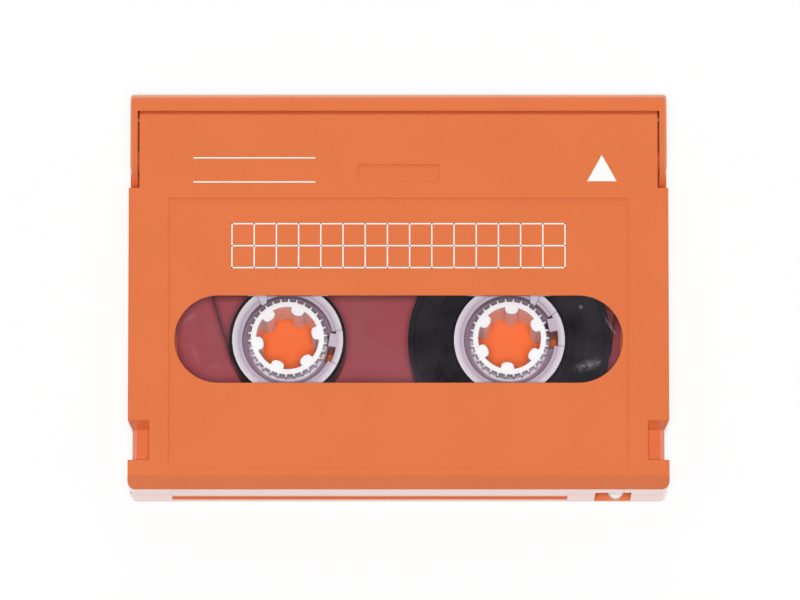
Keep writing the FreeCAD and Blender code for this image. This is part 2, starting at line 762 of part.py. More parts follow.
def tongue_slit(x):
    """U-shaped slit that frees a spring tongue, open end to the rear, about a centre line."""
    wide = "(tongue_width / 2 + tongue_slit)"
    slim = "(tongue_width / 2)"
    tip = "(nub_y + nub_length + nub_gap)"
    root = f"({tip} - tongue_length)"
    return polygon(
        (f"{x} - {wide}", root),
        (f"{x} - {slim}", root),
        (f"{x} - {slim}", tip),
        (f"{x} + {slim}", tip),
        (f"{x} + {slim}", root),
        (f"{x} + {wide}", root),
        (f"{x} + {wide}", f"{tip} + tongue_slit"),
        (f"{x} - {wide}", f"{tip} + tongue_slit"),
    )


def make_lid():
    lid = Piece("lid")
    lid.grow("block", "x", "-lid_half", "lid_half", polygon(
        ("pivot_y", "arm_low"),
        ("lid_inner_y", "arm_low"),
        ("lid_inner_y", "lid_low"),
        ("front_y", "lid_low"),
        ("front_y", "case_height"),
        ("pivot_y", "case_height"),
    ))
    lid.grow("arm_ends", "x", "-lid_half", "lid_half", circle("pivot_y", "pivot_z", "pivot_drop"))

    def front_brow(a, b):
        level = near(a.z, value("case_height")) and near(b.z, value("case_height"))
        return level and near(a.y, value("front_y")) and near(b.y, value("front_y"))

    def arm_brow(a, b):
        level = near(a.z, value("case_height")) and near(b.z, value("case_height"))
        return level and near(abs(a.x), value("lid_half")) and near(a.x, b.x)

    lid.trim_edges("Fillet", "brow", "lid_round", front_brow)
    lid.trim_edges("Chamfer", "arm_edges", "edge_round", arm_brow)
    arm_end = "(pivot_y - pivot_drop)"
    lid.carve("arm_tapers", "z", "arm_low", "case_height", *[polygon(
        (f"{side} * lid_half", f"{arm_end} + arm_taper_length"),
        (f"{side} * lid_half", arm_end),
        (f"{side} * (lid_half - arm_taper)", arm_end),
    ) for side in (-1, 1)])
    lid.carve("sweep", "x", "-arm_in", "arm_in", circle("pivot_y", "pivot_z", "lid_inner_radius"))
    lid.carve("inside", "x", "-arm_in", "arm_in", rect(
        "pivot_y", "lid_low", "lid_inner_y", "pivot_z"))

    for side, wall_in, wall_out in (("left", "-arm_in", "-front_room_half"),
                                    ("right", "front_room_half", "arm_in")):
        lid.grow(f"{side}_pivot", "x", wall_in, wall_out, circle("pivot_y", "pivot_z", "pivot_radius"))
    cam = circle("pivot_y", "pivot_z - cam_offset", "cam_radius")
    lid.grow("left_cam", "x", "-front_room_half", "-front_room_half + cam_reach", cam)
    lid.grow("right_cam", "x", "front_room_half - cam_reach", "front_room_half", cam)
    lid.grow("spring_post", "x", "-front_room_half", "-front_room_half + spring_post_reach", circle(
        "pivot_y", "pivot_z", "spring_post_radius"))
    return lid.body


def make_lid_spring():
    """Torsion spring on the left pivot: a coil of straight chords of six-sided wire with two tangent legs."""
    wire = value("spring_wire")
    pitch = value("spring_pitch")
    coil_radius = value("spring_radius")
    leg = value("spring_leg")
    chords = round(value("spring_turns * spring_chords"))

    def section(angle, lead):
        """Outline of the wire at an angle of the coil, moved along the coil's tangent there by lead."""
        out = FreeCAD.Vector(math.cos(angle), math.sin(angle), 0)
        along = FreeCAD.Vector(-out.y, out.x, pitch / (2 * math.pi * coil_radius)).normalize()
        side = along.cross(out)
        centre = out * coil_radius + along * lead
        centre.z += pitch * angle / (2 * math.pi)
        corners = []
        for corner in range(6):
            turned = math.radians(60 * corner)
            corners.append(centre + (out * math.cos(turned) + side * math.sin(turned)) * (wire / 2))
        return Part.makePolygon(corners + corners[:1])

    angles = [2 * math.pi * value("spring_turns") * step / chords for step in range(chords + 1)]
    sections = [section(angles[0], -leg)]
    sections += [section(angle, 0) for angle in angles]
    sections.append(section(angles[-1], leg))
    spring = doc.addObject("Part::Feature", "lid_spring")
    spring.Label = "lid_spring"
    spring.Shape = Part.makeLoft(sections, True, True)
    spring.Placement = FreeCAD.Placement(
        at("-front_room_half + cam_reach + 2 * spring_wire", "pivot_y", "pivot_z"),
        FreeCAD.Rotation(FreeCAD.Vector(0, 0, 1), FreeCAD.Vector(1, 0, 0)))
    return spring


def make_slider():
    slider = Piece("slider")
    slider.grow("plate", "z", "0", "slider_plate", rect(
        "-half_width", "slider_rear_y", "half_width", "slider_front_y"))

    def upright(a, b):
        return near(a.x, b.x) and near(a.y, b.y)

    slider.trim_edges("Fillet", "corners", "slider_round", upright)
    slider.grow("sides", "z", "slider_plate", "slider_height", *both_sides(
        rect, "half_width - slider_side", "slider_rear_y + slider_round",
        "half_width", "slider_front_y - slider_round"))
    slider.grow("rails", "z", "rail_low", "rail_low + rail_height", *both_sides(
        rect, "half_width - slider_side - rail_depth", "slider_rear_y + slider_round",
        "half_width - slider_side", "slider_front_y - slider_round"))
    slider.carve("access_holes", "z", "0", "slider_plate", *both_sides(
        circle, "hub_x", "hub_y + slider_travel", "access_radius"))
    lane = "(nub_width / 2 + nub_gap)"
    lane_end = "nub_y + nub_length + slider_travel + nub_gap"
    slider.carve("lock_lanes", "z", "slider_plate - nub_height", "slider_plate", *both_sides(
        rect, f"tongue_x - {lane}", "slider_rear_y", f"tongue_x + {lane}", lane_end))
    slider.carve("lock_windows", "z", "0", "slider_plate", *both_sides(
        rect, f"tongue_x - {lane}", "nub_y + slider_travel - nub_gap", f"tongue_x + {lane}", lane_end))
    return slider.body


def make_hub(side, x, spline_angle):
    """Moulded reel hub: ring and sleeve joined by a web, drive teeth inside, brake teeth outside."""
    hub = Piece(f"{side}_hub")
    web_low = "(hub_low + hub_high - hub_web) / 2"
    web_high = "(hub_low + hub_high + hub_web) / 2"
    ring_in = "hub_radius - hub_ring"
    hub.turn("section", polygon(
        ("spline_root", "sleeve_low"),
        ("sleeve_radius", "sleeve_low"),
        ("sleeve_radius", web_low),
        (ring_in, web_low),
        (ring_in, "hub_low"),
        ("hub_radius", "hub_low"),
        ("hub_radius", "hub_high"),
        (f"{ring_in}", "hub_high"),
        (f"{ring_in}", "hub_high - hub_step"),
        (f"{ring_in} - hub_step", "hub_high - hub_step"),
        (f"{ring_in} - hub_step", web_high),
        ("sleeve_radius", web_high),
        ("sleeve_radius", "sleeve_high"),
        ("spline_root", "sleeve_high"),
    ))
    root_x = "(spline_root + sleeve_radius) / 2"
    tooth = hub.grow("drive_tooth", "z", "sleeve_low", "sleeve_high", nosed_tooth(
        root_x, "spline_tip", "spline_width", "spline_taper"), spin=f"{spline_angle} - {side}_clamp_angle")
    hub.ring_of("drive_teeth", tooth, "spline_count")
    tick = hub.grow("brake_tooth", "z", "sleeve_high - ratchet_height", "sleeve_high", polygon(
        (root_x, "-ratchet_width / 2"),
        ("ratchet_tip", "-ratchet_width / 4"),
        ("ratchet_tip", "ratchet_width / 4"),
        (root_x, "ratchet_width / 2"),
    ))
    hub.ring_of("brake_teeth", tick, "ratchet_count")
    hub.turn("clamp_slot", rect("hub_radius - clamp_depth", "hub_low", "hub_radius + wall", "hub_high"),
             kind="Groove", sector="clamp_sector_angle")
    hub.place(x, "hub_y", f"{side}_clamp_angle")
    return hub.body


def make_clamp(side, x):
    """Clamp that holds the tape's end: an arc that closes the hub's ring and a wedge behind it."""
    clamp = Piece(f"{side}_clamp")
    slack = "2 * clamp_fit / hub_radius * 180 / pi"
    clamp.turn("arc", rect("hub_radius - hub_ring", "hub_low", "hub_radius", "hub_high"),
               sector=f"clamp_sector_angle - {slack}")
    clamp.grow("wedge", "z", "hub_low", "hub_high", rect(
        "hub_radius - clamp_depth + clamp_fit", "clamp_wedge_offset - clamp_wedge_width / 2",
        "hub_radius - hub_ring / 2", "clamp_wedge_offset + clamp_wedge_width / 2"))
    clamp.place(x, "hub_y", f"{side}_clamp_angle")
    return clamp.body


def make_pack(side, x, pack_radius):
    pack = Piece(f"{side}_tape_pack")
    pack.turn("turns", rect("hub_radius", "tape_low", pack_radius, "tape_high"))
    pack.place(x, "hub_y")
    return pack.body


def tangent_touch(centre_a, radius_a, centre_b, radius_b, side):
    """Touching points of the straight belt on one side of two circles, left (-1) or right (1)."""
    run = centre_b - centre_a
    heading = math.atan2(run.y, run.x) - side * math.acos((radius_a - radius_b) / run.Length)
    out = FreeCAD.Vector(math.cos(heading), math.sin(heading), 0)
    return centre_a + out * radius_a, centre_b + out * radius_b


def tape_line(extra):
    """Edges of the tape's path from just off one pack, round the posts, to the other, pushed out by extra."""
    edges = []
    corner = []
    for side, pack_radius in ((-1, "left_pack_radius"), (1, "right_pack_radius")):
        hub = at(f"{side} * hub_x", "hub_y")
        post = at(f"{side} * post_x", "post_y")
        post_reach = value("post_radius") + extra
        pack_reach = value(f"{pack_radius} + tape_gap") + extra
        leave, meet = tangent_touch(hub, pack_reach, post, post_reach, side)
        turn_end = post + FreeCAD.Vector(0, post_reach, 0)
        lean = (meet - post) + (turn_end - post)
        middle = post + lean.normalize() * post_reach
        edges.append(Part.makeLine(leave, meet))
        edges.append(Part.Arc(meet, middle, turn_end).toShape())
        corner.append((leave, turn_end))
    edges.append(Part.makeLine(corner[0][1], corner[1][1]))
    return edges, [leave for leave, turn_end in corner]


def make_tape_span():
    """Free run of tape: a thin ribbon round the two guide posts, standing on edge."""
    inner, inner_ends = tape_line(0)
    outer, outer_ends = tape_line(value("tape_thickness"))
    caps = [Part.makeLine(here, there) for here, there in zip(inner_ends, outer_ends)]
    outline = Part.Wire(Part.__sortEdges__(inner + outer + caps))
    ribbon = Part.Face(outline).extrude(FreeCAD.Vector(0, 0, value("tape_high - tape_low")))
    span = doc.addObject("Part::Feature", "tape_span")
    span.Label = "tape_span"
    span.Shape = ribbon
    span.Placement = FreeCAD.Placement(at("0", "0", "tape_low"), FreeCAD.Rotation())
    return span


def make_liner(label, low, front, hole_radius):
    """Slip sheet over the reel room, with a hole round each hub."""
    liner = Piece(label)
    liner.grow("sheet", "z", low, f"{low} + liner_thickness",
               rect("-liner_half", "liner_rear_y", "liner_half", front),
               *both_sides(circle, "hub_x", "hub_y", hole_radius))
    return liner.body


def make_hub_brake():
    """Yoke under the top plate: a front bar with a lug at each lid pivot, a spine and two pawls."""
    brake = Piece("hub_brake")
    pawl_y = "hub_y + sqrt(pawl_reach^2 - {0}^2)"
    brake.grow("plate", "z", "brake_low", "brake_high", polygon(
        ("-brake_half", "brake_bar_y"),
        ("-brake_spine_half", "brake_bar_y"),
        ("-brake_spine_half", "brake_yoke_front"),
        ("-hub_x - pawl_out", "brake_yoke_front"),
        ("-hub_x - pawl_out", "hub_y + pawl_reach"),
        ("-hub_x - pawl_far", pawl_y.format("pawl_far")),
        ("-hub_x - pawl_near", pawl_y.format("pawl_near")),
        ("-hub_x - pawl_near", "brake_yoke_rear"),
        ("hub_x + pawl_near", "brake_yoke_rear"),
        ("hub_x + pawl_near", pawl_y.format("pawl_near")),
        ("hub_x + pawl_far", pawl_y.format("pawl_far")),
        ("hub_x + pawl_out", "hub_y + pawl_reach"),
        ("hub_x + pawl_out", "brake_yoke_front"),
        ("brake_spine_half", "brake_yoke_front"),
        ("brake_spine_half", "brake_bar_y"),
        ("brake_half", "brake_bar_y"),
        ("brake_half", "brake_bar_front"),
        ("-brake_half", "brake_bar_front"),
    ))
    brake.grow("lugs", "z", "brake_lug_low", "brake_low", *both_sides(
        rect, "brake_half - brake_lug", "brake_bar_y", "brake_half", "brake_bar_front"))
    return brake.body


def make_brake_spring():
    """Bowed leaf between the front skirt and the brake's bar: a slice of a thin-walled tube."""
    rise = "(skirt_in - brake_bar_front - leaf_gap)"
    bow_radius = f"(leaf_half^2 + {rise}^2) / (2 * {rise})"
    shells = []
    for name, inset in (("leaf_outside", "0"), ("leaf_inside", "leaf_thickness")):
        tube = doc.addObject("Part::Cylinder", name)
        tube.setExpression("Radius", formula(f"{bow_radius} - {inset}"))
        tube.setExpression("Height", formula("brake_thickness - 2 * brake_gap"))
        tube.setExpression("Placement.Base.y", formula(f"brake_bar_front + leaf_gap + {bow_radius}"))
        tube.setExpression("Placement.Base.z", formula("brake_low + brake_gap"))
        shells.append(tube)
    ring = doc.addObject("Part::Cut", "leaf_ring")
    ring.Base, ring.Tool = shells
    slab = doc.addObject("Part::Box", "leaf_room")
    slab.setExpression("Length", formula("2 * leaf_half"))
    slab.setExpression("Width", formula(rise))
    slab.setExpression("Height", formula("case_height"))
    slab.setExpression("Placement.Base.x", formula("-leaf_half"))
    slab.setExpression("Placement.Base.y", formula("brake_bar_front + leaf_gap"))
    leaf = doc.addObject("Part::Common", "brake_spring")
    leaf.Label = "brake_spring"
    leaf.Base = ring
    leaf.Tool = slab
    return leaf


def make_write_protect_tab():
    tab = Piece("write_protect_tab")
    tab.grow("plate", "y", "tab_plate_y", "tab_plate_y + tab_plate", rect(
        "tab_middle - tab_knob_width / 2 - tab_overlap", "floor_top + tab_gap",
        "tab_middle + tab_knob_width / 2 + tab_overlap", "tab_high"))
    knob_low = "tab_low + tab_gap"
    knob_high = f"{knob_low} + tab_knob_height"
    tab.grow("knob", "z", knob_low, knob_high, circle(
        "tab_middle", "rear_y + tab_gap + tab_knob_width / 2", "tab_knob_width / 2"))
    left_of_knob = "tab_middle - tab_knob_width"
    right_of_knob = "tab_middle + tab_knob_width"
    tab.carve("knob_back", "z", knob_low, knob_high, rect(
        left_of_knob, "tab_plate_y + tab_plate", right_of_knob, "tab_rail_y + tab_knob_width"))
    tab.carve("knob_foot", "z", knob_low, "floor_top + tab_gap", rect(
        left_of_knob, "tab_face_y - tab_gap", right_of_knob, "tab_rail_y + tab_knob_width"))
    return tab.body


def make_screws():
    """Four self-tapping screws that hold the half shells together, driven from below."""
    places = [
        (f"{side}screw_{end}_x", y)
        for end, y in (("front", "screw_front_y"), ("rear", "screw_rear_y"))
        for side in ("-", "")
    ]
    reach = "cross_length / 2"
    slim = "cross_width / 2"
    cross = polygon(
        (reach, slim), (slim, slim), (slim, reach),
        (f"-{slim}", reach), (f"-{slim}", slim), (f"-{reach}", slim),
        (f"-{reach}", f"-{slim}"), (f"-{slim}", f"-{slim}"), (f"-{slim}", f"-{reach}"),
        (slim, f"-{reach}"), (slim, f"-{slim}"), (reach, f"-{slim}"))
    turned = []
    for step, (x, y) in enumerate(places, start=1):
        screw = Piece(f"screw_{step}")
        screw.turn("section", polygon(
            ("0", "screw_seat - screw_head"),
            ("screw_head_radius", "screw_seat - screw_head"),
            ("screw_head_radius", "screw_seat"),
            ("screw_radius", "screw_seat"),
            ("screw_radius", "screw_end - screw_fit"),
            ("0", "screw_end - screw_fit"),
        ))
        screw.carve("cross", "z", "screw_seat - screw_head", "screw_seat - screw_head + cross_depth", cross)
        screw.place(x, y)
        turned.append(screw.body)
    group = doc.addObject("Part::Compound", "screws")
    group.Label = "screws"
    group.Links = turned
    return group


def make_prism(side):
    """Clear prism on the floor: light from below is turned outwards through the tape."""
    sense = {"left": "-1", "right": "1"}[side]
    prism = Piece(f"{side}_prism")
    prism.grow("block", "y", "prism_y", "prism_y + prism_side", polygon(
        (f"{sense} * prism_x", "floor_top"),
        (f"{sense} * (prism_x + prism_side)", "floor_top"),
        (f"{sense} * (prism_x + prism_side)", "floor_top + prism_neck + prism_side"),
        (f"{sense} * prism_x", "floor_top + prism_neck"),
    ))
    return prism.body


subparts = [
    make_upper_shell(),
    make_window(),
    make_lower_shell(),
    make_lid(),
    make_lid_spring(),
    make_slider(),
    make_hub("left", "-hub_x", "left_spline_angle"),
    make_hub("right", "hub_x", "right_spline_angle"),
    make_clamp("left", "-hub_x"),
    make_clamp("right", "hub_x"),
    make_pack("left", "-hub_x", "left_pack_radius"),
    make_pack("right", "hub_x", "right_pack_radius"),
    make_tape_span(),
    make_liner("upper_liner", "liner_z", "liner_front", "hub_radius + liner_gap"),
    make_liner("lower_liner", "floor_top", "mouth_back - mouth_wall - liner_gap",
               "hub_hole_radius + hub_rib_width + liner_gap"),
    make_hub_brake(),
    make_brake_spring(),
    make_write_protect_tab(),
    make_screws(),
    make_prism("left"),
    make_prism("right"),
]
doc.recompute()

for item in doc.Objects:
    if "Invalid" in item.State or "Error" in item.State:
        raise ValueError(f"{item.Label} failed: {item.State}")
for subpart in subparts:
    if subpart.Shape.isNull() or not subpart.Shape.isValid():
        raise ValueError(f"{subpart.Label} has no valid shape")

os.makedirs("parts", exist_ok=True)
for subpart in subparts:
    subpart.Shape.exportStep(f"parts/{subpart.Label}.step")
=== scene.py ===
import math
import bmesh
import bpy
import numpy as np
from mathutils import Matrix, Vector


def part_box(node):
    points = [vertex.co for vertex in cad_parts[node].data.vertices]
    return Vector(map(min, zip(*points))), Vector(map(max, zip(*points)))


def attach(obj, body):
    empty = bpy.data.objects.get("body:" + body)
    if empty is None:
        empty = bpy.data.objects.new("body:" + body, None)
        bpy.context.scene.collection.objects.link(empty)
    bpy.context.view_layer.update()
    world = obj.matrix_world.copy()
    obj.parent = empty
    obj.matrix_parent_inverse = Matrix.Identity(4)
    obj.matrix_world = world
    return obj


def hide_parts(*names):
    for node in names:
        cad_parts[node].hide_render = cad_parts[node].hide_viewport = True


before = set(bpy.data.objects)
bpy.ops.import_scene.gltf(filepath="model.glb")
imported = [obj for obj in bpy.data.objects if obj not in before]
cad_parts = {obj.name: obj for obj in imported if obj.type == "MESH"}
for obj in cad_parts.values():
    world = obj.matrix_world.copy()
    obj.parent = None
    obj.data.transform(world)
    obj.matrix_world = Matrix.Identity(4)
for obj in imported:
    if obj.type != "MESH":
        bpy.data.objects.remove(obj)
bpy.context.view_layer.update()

# Lower half of the case: a moulded tub with the floor, guide posts, screw bosses and slider grooves.
# Injection-moulded orange plastic with a fine spark-eroded grain; the four screws pull it to the upper half.


def add(tree, kind, values=None, links=None, **settings):
    """One shader node with its settings, socket values and incoming links."""
    made = tree.nodes.new(kind)
    for name, setting in settings.items():
        setattr(made, name, setting)
    for name, value in (values or {}).items():
        made.inputs[name].default_value = value
    for name, source in (links or {}).items():
        tree.links.new(source, made.inputs[name])
    return made


def new_group(name, inputs, outputs):
    """Empty shader node group with named sockets; inputs give each socket's kind and first value."""
    tree = bpy.data.node_groups.new(name, "ShaderNodeTree")
    for label, (kind, value) in inputs.items():
        tree.interface.new_socket(name=label, in_out="INPUT", socket_type=kind).default_value = value
    for label, kind in outputs.items():
        tree.interface.new_socket(name=label, in_out="OUTPUT", socket_type=kind)
    return tree, tree.nodes.new("NodeGroupInput"), tree.nodes.new("NodeGroupOutput")


def build_moulded_skin():
    """Skin of a moulded part: cloudy tone, patches of gloss and an even fine grain, all from noise in space."""
    tree, given, out = new_group(
        "moulded_skin",
        {"Colour": ("NodeSocketColor", (0.8, 0.8, 0.8, 1)), "Tone": ("NodeSocketFloat", 0.06),
         "Gloss": ("NodeSocketFloat", 0.4), "Gloss Patches": ("NodeSocketFloat", 0.1),
         "Grain Scale": ("NodeSocketFloat", 5200.0)},
        {"Colour": "NodeSocketColor", "Roughness": "NodeSocketFloat", "Height": "NodeSocketFloat"})
    place = add(tree, "ShaderNodeTexCoord").outputs["Object"]
    cloud = add(tree, "ShaderNodeTexNoise", {"Scale": 90.0, "Detail": 4.0}, {"Vector": place})
    patch = add(tree, "ShaderNodeTexNoise", {"Scale": 420.0, "Detail": 3.0}, {"Vector": place})
    grain = add(tree, "ShaderNodeTexNoise", {"Detail": 2.0, "Roughness": 0.6},
                {"Vector": place, "Scale": given.outputs["Grain Scale"]})
    sway = add(tree, "ShaderNodeMath", {1: 0.5}, {0: cloud.outputs["Fac"]}, operation="SUBTRACT")
    speck = add(tree, "ShaderNodeMath", {1: 0.5}, {0: grain.outputs["Fac"]}, operation="SUBTRACT")
    both = add(tree, "ShaderNodeMath", None, {0: sway.outputs[0], 1: speck.outputs[0]}, operation="ADD")
    tone = add(tree, "ShaderNodeMath", {2: 1.0}, {0: both.outputs[0], 1: given.outputs["Tone"]},
               operation="MULTIPLY_ADD")
    colour = add(tree, "ShaderNodeVectorMath", None,
                 {0: given.outputs["Colour"], "Scale": tone.outputs[0]}, operation="SCALE")
    lean = add(tree, "ShaderNodeMath", {1: 0.5}, {0: patch.outputs["Fac"]}, operation="SUBTRACT")
    gloss = add(tree, "ShaderNodeMath", None,
                {0: lean.outputs[0], 1: given.outputs["Gloss Patches"], 2: given.outputs["Gloss"]},
                operation="MULTIPLY_ADD")
    tree.links.new(colour.outputs[0], out.inputs["Colour"])
    tree.links.new(gloss.outputs[0], out.inputs["Roughness"])
    tree.links.new(grain.outputs["Fac"], out.inputs["Height"])
    return tree


moulded_skin = build_moulded_skin()


def moulded_plastic(name, colour, gloss, tone, grain_depth, edge_round):
    """Opaque moulded plastic: the skin group over a bevel that softens every edge by its radius."""
    material = bpy.data.materials.new(name)
    material.use_nodes = True
    tree = material.node_tree
    plastic = tree.nodes["Principled BSDF"]
    skin = add(tree, "ShaderNodeGroup", node_tree=moulded_skin, name="skin")
    skin.inputs["Colour"].default_value = (*colour, 1)
    skin.inputs["Tone"].default_value = tone
    skin.inputs["Gloss"].default_value = gloss
    soft_edge = add(tree, "ShaderNodeBevel", {"Radius": edge_round}, samples=6)
    grain = add(tree, "ShaderNodeBump", {"Strength": 0.5, "Distance": grain_depth},
                {"Height": skin.outputs["Height"], "Normal": soft_edge.outputs["Normal"]})
    tree.links.new(skin.outputs["Colour"], plastic.inputs["Base Color"])
    tree.links.new(skin.outputs["Roughness"], plastic.inputs["Roughness"])
    tree.links.new(grain.outputs["Normal"], plastic.inputs["Normal"])
    return material


def set_finish(material, values):
    """Values on the shader's own sockets, the same all over the surface."""
    shader = material.node_tree.nodes["Principled BSDF"]
    for socket, value in values.items():
        shader.inputs[socket].default_value = value


case_plastic = moulded_plastic(
    "case_plastic", (0.80, 0.190, 0.060),
    gloss=0.36, tone=0.10, grain_depth=0.000012, edge_round=0.00016)
set_finish(case_plastic, {"IOR": 1.55, "Coat Weight": 1.0, "Coat Roughness": 0.08, "Coat IOR": 1.75})
corner_merge = 2e-6


def fair_copy(node, body, material, crease=32, reshape=None):
    """The node's own triangles, joined at shared corners and shaded smooth across bends below the crease.

    A reshape takes the corners as an array and gives them back moved, for a form that the solid has
    only in outline.
    """
    shape = bmesh.new()
    shape.from_mesh(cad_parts[node].data)
    bmesh.ops.remove_doubles(shape, verts=shape.verts, dist=corner_merge)
    mesh = bpy.data.meshes.new(f"{node}_fair")
    shape.to_mesh(mesh)
    shape.free()
    if reshape:
        points = np.empty(3 * len(mesh.vertices))
        mesh.vertices.foreach_get("co", points)
        mesh.vertices.foreach_set("co", reshape(points.reshape(-1, 3)).ravel())
    if "custom_normal" in mesh.attributes:
        mesh.attributes.remove(mesh.attributes["custom_normal"])
    mesh.materials.clear()
    mesh.materials.append(material)
    mesh.shade_smooth()
    mesh.set_sharp_from_angle(angle=math.radians(crease))
    piece = bpy.data.objects.new(f"{node}_fair", mesh)
    bpy.context.scene.collection.objects.link(piece)
    level = piece.modifiers.new("flat_faces_stay_flat", "WEIGHTED_NORMAL")
    level.keep_sharp = True
    level.weight = 100
    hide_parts(node)
    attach(piece, body)
    return piece


def shallow_recess(points, solid_floor=-0.0266, floor=-0.02675, label_end=0.0245, near=0.00002):
    """Label recess of the rear wall: its floor, and only that, lies a quarter of a millimetre deep."""
    on_floor = (np.abs(points[:, 1] - solid_floor) < near) & (points[:, 0] < label_end)
    points[on_floor, 1] = floor
    return points


fair_copy("lower_shell", "case", case_plastic, reshape=shallow_recess)

# Slider: the bottom plate with two upturned sides that run in grooves of the case.
# Same orange moulding, polished a little by use; two lock tongues of the case hold it.
# Painted light: its orange is brighter than the case's, standing in for the light that reaches it down the hub
# bores.
slider_plastic_painted_bright = moulded_plastic(
    "slider_plastic_painted_bright", (0.96, 0.185, 0.044),
    gloss=0.32, tone=0.08, grain_depth=0.000008, edge_round=0.00014)
set_finish(slider_plastic_painted_bright, {"Coat Weight": 1.0, "Coat Roughness": 0.08})
fair_copy("slider", "slider", slider_plastic_painted_bright)

# Prisms: two clear moulded blocks that stand on the floor and turn a beam of light through the tape.
# Clear polycarbonate with polished faces, pressed on pegs of the floor.


def clear_plastic(name, haze_colour, haze, gloss, index=1.45):
    """Thin clear plastic: see-through but for a milky haze in patches, and a painted sheen that grows as sight
    grazes:
    the haze colour covers more of the pane there, standing in for a reflection.

    The painted sheen is the same from both sides, because light that goes straight on is not caught inside.
    """
    material = bpy.data.materials.new(name)
    material.use_nodes = True
    tree = material.node_tree
    set_finish(material, {"Base Color": (*haze_colour, 1), "Roughness": gloss, "IOR": index})
    place = add(tree, "ShaderNodeTexCoord").outputs["Object"]
    cloud = add(tree, "ShaderNodeTexNoise", {"Scale": 130.0, "Detail": 5.0, "Roughness": 0.62},
                {"Vector": place})
    veil = add(tree, "ShaderNodeMapRange",
               {"From Min": 0.35, "From Max": 0.75, "To Min": haze[0], "To Max": haze[1]},
               {"Value": cloud.outputs["Fac"]}, name="veil")
    behind = add(tree, "ShaderNodeNewGeometry").outputs["Backfacing"]
    ratio = add(tree, "ShaderNodeMath", {1: 1 / index - index, 2: index}, {0: behind},
                operation="MULTIPLY_ADD")
    edge = add(tree, "ShaderNodeFresnel", None, {"IOR": ratio.outputs[0]})
    # Painted sheen: cover by the haze colour rises with the Fresnel factor, in place of a reflection.
    sheen = add(tree, "ShaderNodeMapRange", {"From Min": 0.04, "To Max": 0.6}, {"Value": edge.outputs[0]})
    cover = add(tree, "ShaderNodeMath", None, {0: veil.outputs["Result"], 1: sheen.outputs["Result"]},
                operation="MAXIMUM", name="cover")
    tree.links.new(cover.outputs[0], tree.nodes["Principled BSDF"].inputs["Alpha"])
    return material


prism_clear = clear_plastic("prism_clear", (0.8, 0.8, 0.85), (0.05, 0.12), 0.05)
fair_copy("left_prism", "case", prism_clear)
fair_copy("right_prism", "case", prism_clear)

# Lower slip sheet: thin film on the floor under the reels, die-cut with a hole round each hub.
# Coated mauve film, matt and slightly streaked.
sheet_film = moulded_plastic(
    "sheet_film", (0.43, 0.082, 0.098),
    gloss=0.45, tone=0.18, grain_depth=0.000004, edge_round=0.00004)


def wide_front(points, solid_edge=0.0290, corner=0.0310):
    """Sheet outline: the two front corners stand further out, so that the edges fan from the rear corners."""
    front_corner = (np.abs(points[:, 0]) > solid_edge) & (points[:, 1] > 0.0)
    points[front_corner, 0] = np.sign(points[front_corner, 0]) * corner
    return points


fair_copy("lower_liner", "case", sheet_film, reshape=wide_front)

# Hubs: moulded reels with a ring, a web and a sleeve with six drive teeth inside and brake teeth outside.
# Milky white acetal that lets some light through; each clamp snaps into a slot of the ring and holds
# the end of the tape.
hub_x, hub_y = 0.0150, -0.0064
hub_white = (0.96, 0.93, 0.96)
hub_plastic = moulded_plastic(
    "hub_plastic", hub_white, gloss=0.20, tone=0.05, grain_depth=0.000004, edge_round=0.00016)
set_finish(hub_plastic, {
    "Subsurface Weight": 0.2, "Subsurface Radius": (1.0, 0.75, 0.9), "Subsurface Scale": 0.0012})


def paint_hub_shade_and_highlight(material, sleeve, rim, ring_top, web_top, ring_shade_tint, web_shade_tint):
    """Colour of a milky hub with painted light: outside its sleeve it falls from the ring's tint to the darker
    web, painted shade for the dim groove over the thin web.

    Towards the ring's thick rim it turns whiter again, a painted highlight.
    """
    tree = material.node_tree
    place = add(tree, "ShaderNodeTexCoord").outputs["Object"]
    part = add(tree, "ShaderNodeSeparateXYZ", None, {0: place})
    across = add(tree, "ShaderNodeMath", None, {0: part.outputs["X"]}, operation="ABSOLUTE")
    flat = add(tree, "ShaderNodeCombineXYZ", {"Z": 0.0}, {"X": across.outputs[0], "Y": part.outputs["Y"]})
    radius = add(tree, "ShaderNodeVectorMath", {1: (hub_x, hub_y, 0.0)}, {0: flat.outputs[0]},
                 operation="DISTANCE")
    # Painted shade: outside the sleeve the colour darkens from the ring's top down to the web.
    outside = add(tree, "ShaderNodeMapRange", {"From Min": sleeve, "From Max": sleeve + 0.0004},
                  {"Value": radius.outputs["Value"]})
    depth = add(tree, "ShaderNodeMapRange",
                {"From Min": ring_top, "From Max": web_top, "To Min": 0.5, "To Max": 1.0},
                {"Value": part.outputs["Z"]})
    thin = add(tree, "ShaderNodeMath", None, {0: outside.outputs["Result"], 1: depth.outputs["Result"]},
               operation="MULTIPLY")
    # Painted highlight: the colour whitens again towards the ring's thick rim.
    edge = add(tree, "ShaderNodeMapRange", {"From Min": rim - 0.0009, "From Max": rim},
               {"Value": radius.outputs["Value"]}, interpolation_type="SMOOTHSTEP")
    thin = add(tree, "ShaderNodeMath", {1: -0.28}, {0: edge.outputs["Result"], 2: thin.outputs[0]},
               operation="MULTIPLY_ADD")
    shade = add(tree, "ShaderNodeValToRGB", None, {"Fac": thin.outputs[0]})
    shade.color_ramp.elements[0].color = (*hub_white, 1)
    shade.color_ramp.elements[1].color = (*web_shade_tint, 1)
    shade.color_ramp.elements.new(0.5).color = (*ring_shade_tint, 1)
    tree.links.new(shade.outputs["Color"], tree.nodes["skin"].inputs["Colour"])


# The hub's colour carries painted shade in the groove and a painted highlight at the ring's rim.
paint_hub_shade_and_highlight(hub_plastic, sleeve=0.0050, rim=0.0075, ring_top=0.0113, web_top=0.0086,
         ring_shade_tint=(0.62, 0.52, 0.62), web_shade_tint=(0.32, 0.22, 0.28))
bore_reach, root_reach, new_root = 0.0046, 0.0044, 0.00425
tooth_half, tooth_stations, tooth_gains = 0.00078, [0.0038, 0.00445], [1.7, 1.3]


